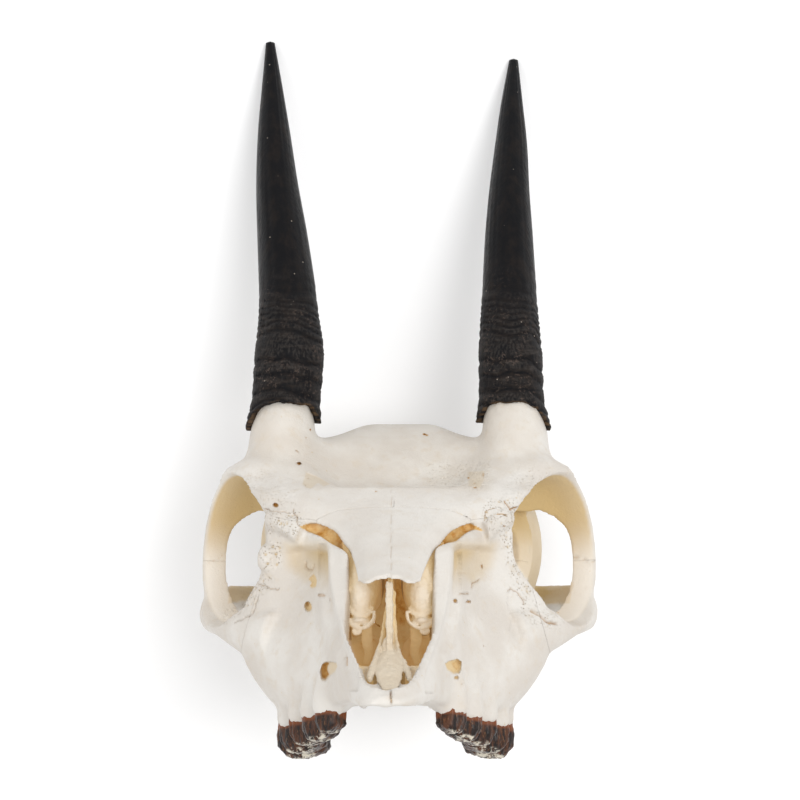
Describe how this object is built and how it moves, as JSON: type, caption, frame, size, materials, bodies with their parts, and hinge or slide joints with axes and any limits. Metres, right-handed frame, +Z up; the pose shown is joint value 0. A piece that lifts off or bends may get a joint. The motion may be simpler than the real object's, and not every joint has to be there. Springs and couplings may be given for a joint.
{
  "type": "antelope skull with horns",
  "caption": "Life-size skull of a small antelope with straight ringed horns, worn cheek teeth and no lower jaw, lying on its back with the nose up.",
  "frame": {"origin": "middle of the bounding box at the level of the floor", "axes": "+Z up, towards the nose, +Y along the floor towards the horn tips and the top of the head, +X towards the animal's left"},
  "size_m": [0.0734, 0.1336, 0.1344],
  "materials": {
    "bone": "matte",
    "horn": "satin",
    "scroll": "matte"
  },
  "bodies": {
    "root": {"braincase": "bone", "forehead": "bone", "nasal_bones": "bone", "upper_jaw_right": "bone", "upper_jaw_left": "bone", "premaxilla": "bone", "cheekbone_right": "bone", "cheekbone_left": "bone", "horn_sheath_right": "horn", "horn_sheath_left": "horn", "nose_septum": "scroll", "turbinate_right": "scroll", "turbinate_left": "scroll"}
  },
  "joints": []
}
